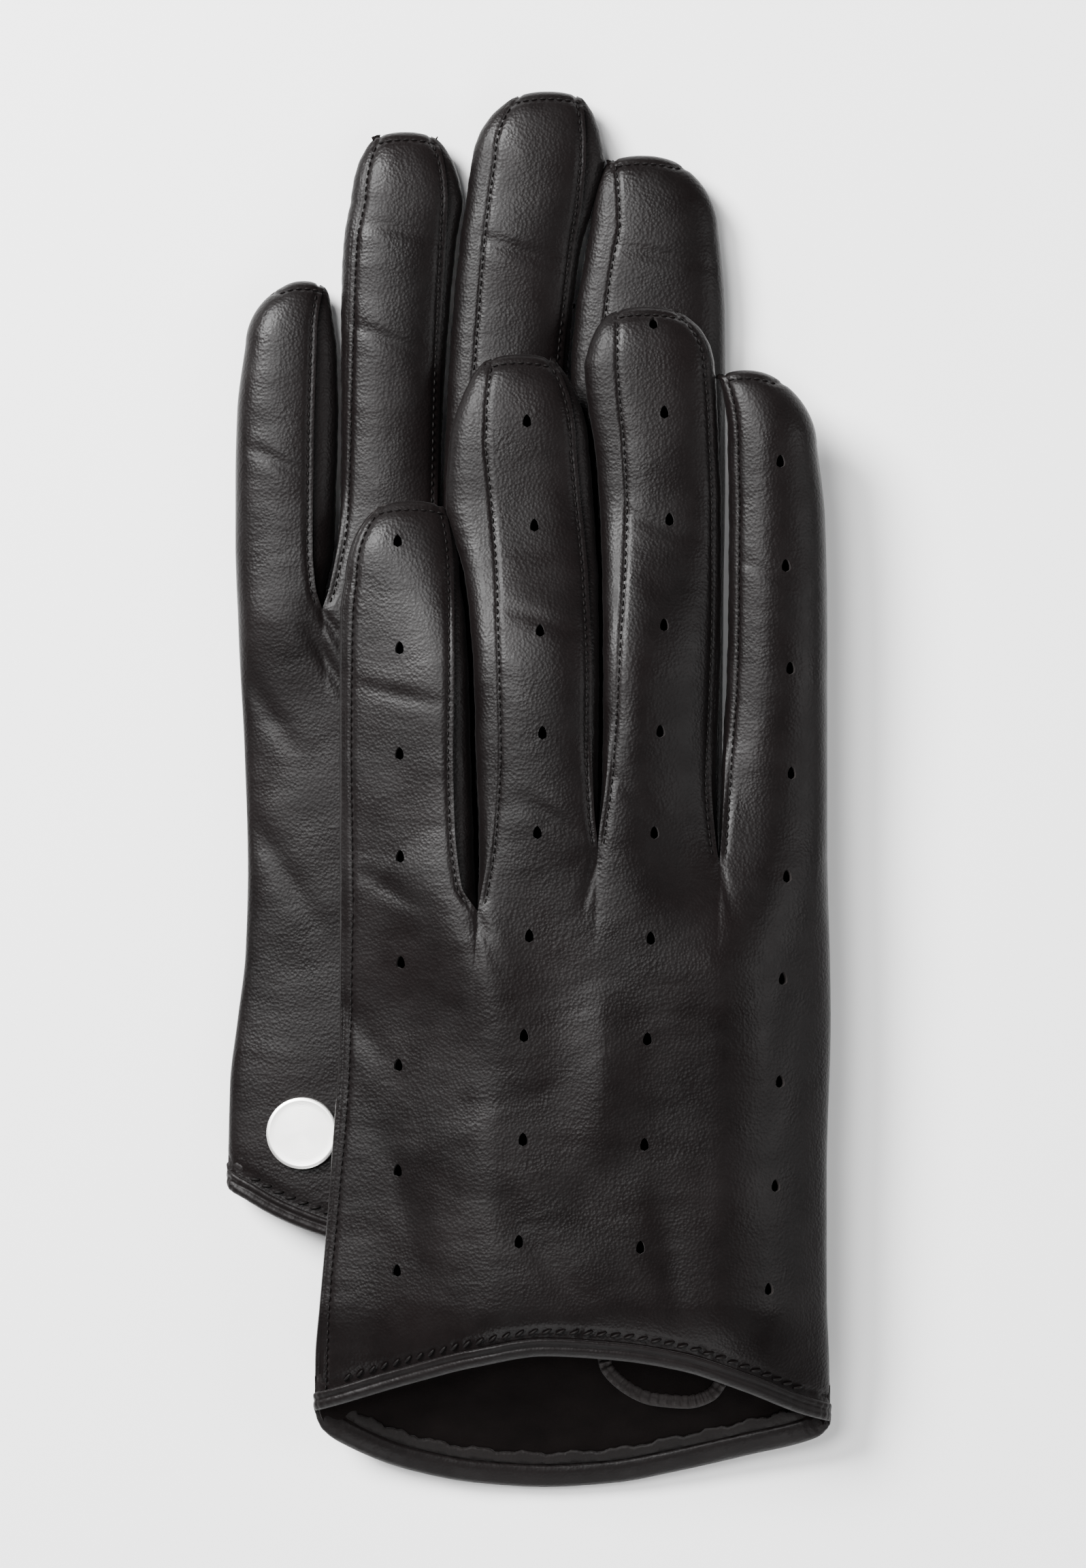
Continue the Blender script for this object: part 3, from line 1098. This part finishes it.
def build_thumb(side):
    """A flattened thumb in two halves, stitched down both sides."""
    t = np.concatenate([[0], 0.5 - 0.5 * np.cos(np.linspace(0.12, math.pi - 0.12, 110)), [1]])
    threads = Threads()
    for word, start in (("front", math.pi), ("back", 0.0)):
        angle = np.linspace(start, start + math.pi, 33)
        points = thumb_surface(side, t[:, None], angle[None, :]).reshape(-1, 3)
        faces = grid_faces(len(t), len(angle))
        axis = np.repeat(thumb_axis(side, t), len(angle), 0)
        normals = vertex_normals(points, faces)
        if np.sum(normals * (points - axis)) < 0:
            faces, normals = faces[:, ::-1], -normals
        edge = np.minimum(angle - start, start + math.pi - angle)[None, :] * THUMB_H / 2 + 0 * t[:, None]
        points = points - normals * (seam_groove(edge.ravel(), points[:, 1]) * 0.8)[:, None]
        points = points + normals * (0.22 * noise_field(points, 13.0, 5.1))[:, None]
        if side == "left":
            points[:, 2] = np.maximum(points[:, 2], HEM_Z - 0.6)
        make_piece(f"{side}_thumb_{word}_leather", points, faces, vertex_normals(points, faces),
                   THUMB_LEATHER, [SKIN, SUEDE, EDGE], f"{side}_hand",
                   [f"{side}_thumb_{word}"])
    along = np.linspace(0.06, 0.96, 240)
    for angle in (math.pi + 0.42, 2 * math.pi - 0.42):
        where = thumb_surface(side, along, angle)
        axis = thumb_axis(side, along)
        turned = thumb_surface(side, along, angle + 0.05) - where
        ahead = thumb_surface(side, along + 0.004, angle) - where
        normal = np.cross(ahead, turned)
        normal = unit(normal * np.sign(np.sum(normal * (where - axis), axis=1))[:, None])
        threads.row(side, where - normal * 0.1, normal, amount=0.0)
    threads.make(f"{side}_thumb_stitches", f"{side}_hand")


def build_thumb_hole(side):
    """The gathered seam allowance round the thumb's root, on the inside of the palm."""
    glove = GLOVES[side]
    run = np.linspace(0, len(HOLE_LINE) - 1, 150)
    x, y = (curve(list(enumerate(c[k] for c in HOLE_LINE)))(run) + glove.shift[k] for k in (0, 1))
    z = middle(side, x, y) - glove.sign * (HALF * glove.across_hand(x, y) - LEATHER - 0.1)
    centre = np.stack([x, y, z], axis=-1)
    along = unit(np.gradient(centre, axis=0))
    up = np.array([0.0, 0.0, glove.sign])
    across_way = np.cross(along, up)
    gathers = 1 + 0.28 * np.sin(run * 21) + 0.16 * np.sin(run * 47 + 1)
    points = np.stack([centre + across_way * a + up * (b * gathers[:, None]) for a, b in HOLE_SEAM], axis=1)
    rows, cols = points.shape[:2]
    faces = grid_faces(rows, cols).tolist()
    faces += [(r * cols + cols - 1, r * cols, (r + 1) * cols, (r + 1) * cols + cols - 1)
              for r in range(rows - 1)]
    faces += [tuple(range(cols)), tuple(range((rows - 1) * cols, rows * cols))]
    piece = add_mesh(f"{side}_thumb_hole_seam", points, faces, [EDGE])
    clean(piece)
    piece.data.shade_smooth()
    finish_piece(piece, f"{side}_hand")


# ---------------------------------------------------------------- rivets
def build_rivet(side):
    """The rivet's capped disc and its post, square to the palm where the CAD cap lies."""
    node = f"{side}_rivet_cap"
    cad = frame["nodes"][node].data
    low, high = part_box(node)
    normal = Vector((0, 0, 0))
    for p in cad.polygons:
        if p.normal.z * -SIDES[side] > 0.9:
            normal += p.normal * p.area
    normal.normalize()
    top = max(v.co.dot(normal) for v in cad.vertices)
    centre = Vector((low + high) / 2)
    face = centre + normal * (top - centre.dot(normal))
    thick, post = DISC[1] * MM, POST[1] * MM
    bpy.ops.object.select_all(action="DESELECT")
    bpy.ops.mesh.primitive_cylinder_add(vertices=96, radius=DISC[0] * MM, depth=thick,
                                        location=(0, 0, -thick / 2))
    cap = bpy.context.object
    cap.name = f"{side}_rivet_disc"
    for p in cap.data.polygons:
        p.select = p.normal.z > 0.9
    bpy.ops.object.mode_set(mode="EDIT")
    bpy.ops.mesh.select_mode(type="FACE")
    for inset, rise in DISC_STEPS:
        bpy.ops.mesh.inset(thickness=inset * MM)
        bpy.ops.transform.translate(value=(0, 0, rise * MM))
    bpy.ops.object.mode_set(mode="OBJECT")
    bpy.ops.object.select_all(action="DESELECT")
    bpy.ops.mesh.primitive_cylinder_add(vertices=48, radius=POST[0] * MM, depth=post,
                                        location=(0, 0, -thick - post / 2))
    cap.select_set(True)
    bpy.context.view_layer.objects.active = cap
    bpy.ops.object.join()
    bpy.ops.object.transform_apply(location=True, rotation=True, scale=True)
    bevel = cap.modifiers.new("rounded_edges", "BEVEL")
    bevel.width, bevel.segments, bevel.angle_limit = 0.13 * MM, 3, math.radians(25)
    bpy.ops.object.modifier_apply(modifier=bevel.name)
    bpy.ops.object.shade_smooth_by_angle(angle=math.radians(30))
    cap.data.transform(Vector((0, 0, 1)).rotation_difference(normal).to_matrix().to_4x4())
    for v in cap.data.vertices:
        v.co += face
    cap.data.materials.append(rivet_material(f"{side}_rivet_nickel", face))
    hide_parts(node)
    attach(cap, f"{side}_hand")
    bpy.ops.object.select_all(action="DESELECT")
    backing = frame["nodes"][f"{side}_rivet_backing"]
    backing.data.materials.clear()
    backing.data.materials.append(rivet_material(f"{side}_washer_nickel", face))


for glove_side in SIDES:
    for back in (True, False):
        build_face(glove_side, back)
    for number in range(4):
        if number < INDEX:
            build_fourchette(glove_side, number, True)
        if number > LITTLE:
            build_fourchette(glove_side, number, False)
        finger_threads(glove_side, number)
    hand_threads(glove_side)
    build_binding(glove_side)
    build_thumb(glove_side)
    build_thumb_hole(glove_side)
    build_rivet(glove_side)


# ---------------------------------------------------------------- stage
def floor():
    """A pale matt table top, just under the gloves."""
    bpy.ops.object.select_all(action="DESELECT")
    bpy.ops.mesh.primitive_plane_add(size=6, location=(0, 0, -0.0003))
    plane = bpy.context.object
    plane.name = "floor"
    material = bpy.data.materials.new("pale_floor")
    material.use_nodes = True
    shader = material.node_tree.nodes["Principled BSDF"]
    shader.inputs["Base Color"].default_value = (0.90, 0.90, 0.90, 1)
    shader.inputs["Roughness"].default_value = 0.75
    plane.data.materials.append(material)


def light(name, place, size, power):
    """A white disc of light, aimed at the gloves."""
    lamp = bpy.data.lights.new(name, "AREA")
    lamp.shape, lamp.size, lamp.energy = "DISK", size, power
    thing = bpy.data.objects.new(name, lamp)
    bpy.context.scene.collection.objects.link(thing)
    thing.location = place
    thing.rotation_euler = (-Vector(place)).to_track_quat("-Z", "Y").to_euler()


floor()
light("window", (-0.66, 0.55, 0.80), 0.5, 54)
light("overhead", (-0.35, 0.26, 1.30), 0.45, 16)
light("side", (1.05, 0.0, 0.75), 0.7, 7)
light("low_front", (0.1, -1.15, 0.75), 0.8, 11)
world = bpy.data.worlds.new("studio")
bpy.context.scene.world = world
world.use_nodes = True
world.node_tree.nodes["Background"].inputs["Color"].default_value = (0.95, 0.97, 1.0, 1)
world.node_tree.nodes["Background"].inputs["Strength"].default_value = 0.14

LENS = 150.0
SENSOR = 36.0
VIEW_HEIGHT = 276.6 * MM
AIM = Vector((1.9 * MM, 0.35 * MM, 14 * MM))
camera_data = bpy.data.cameras.new("camera")
camera_data.lens, camera_data.sensor_width = LENS, SENSOR
camera = bpy.data.objects.new("camera", camera_data)
bpy.context.scene.collection.objects.link(camera)
camera.location = AIM + Vector((0, 0, VIEW_HEIGHT * LENS / SENSOR))
bpy.context.scene.camera = camera
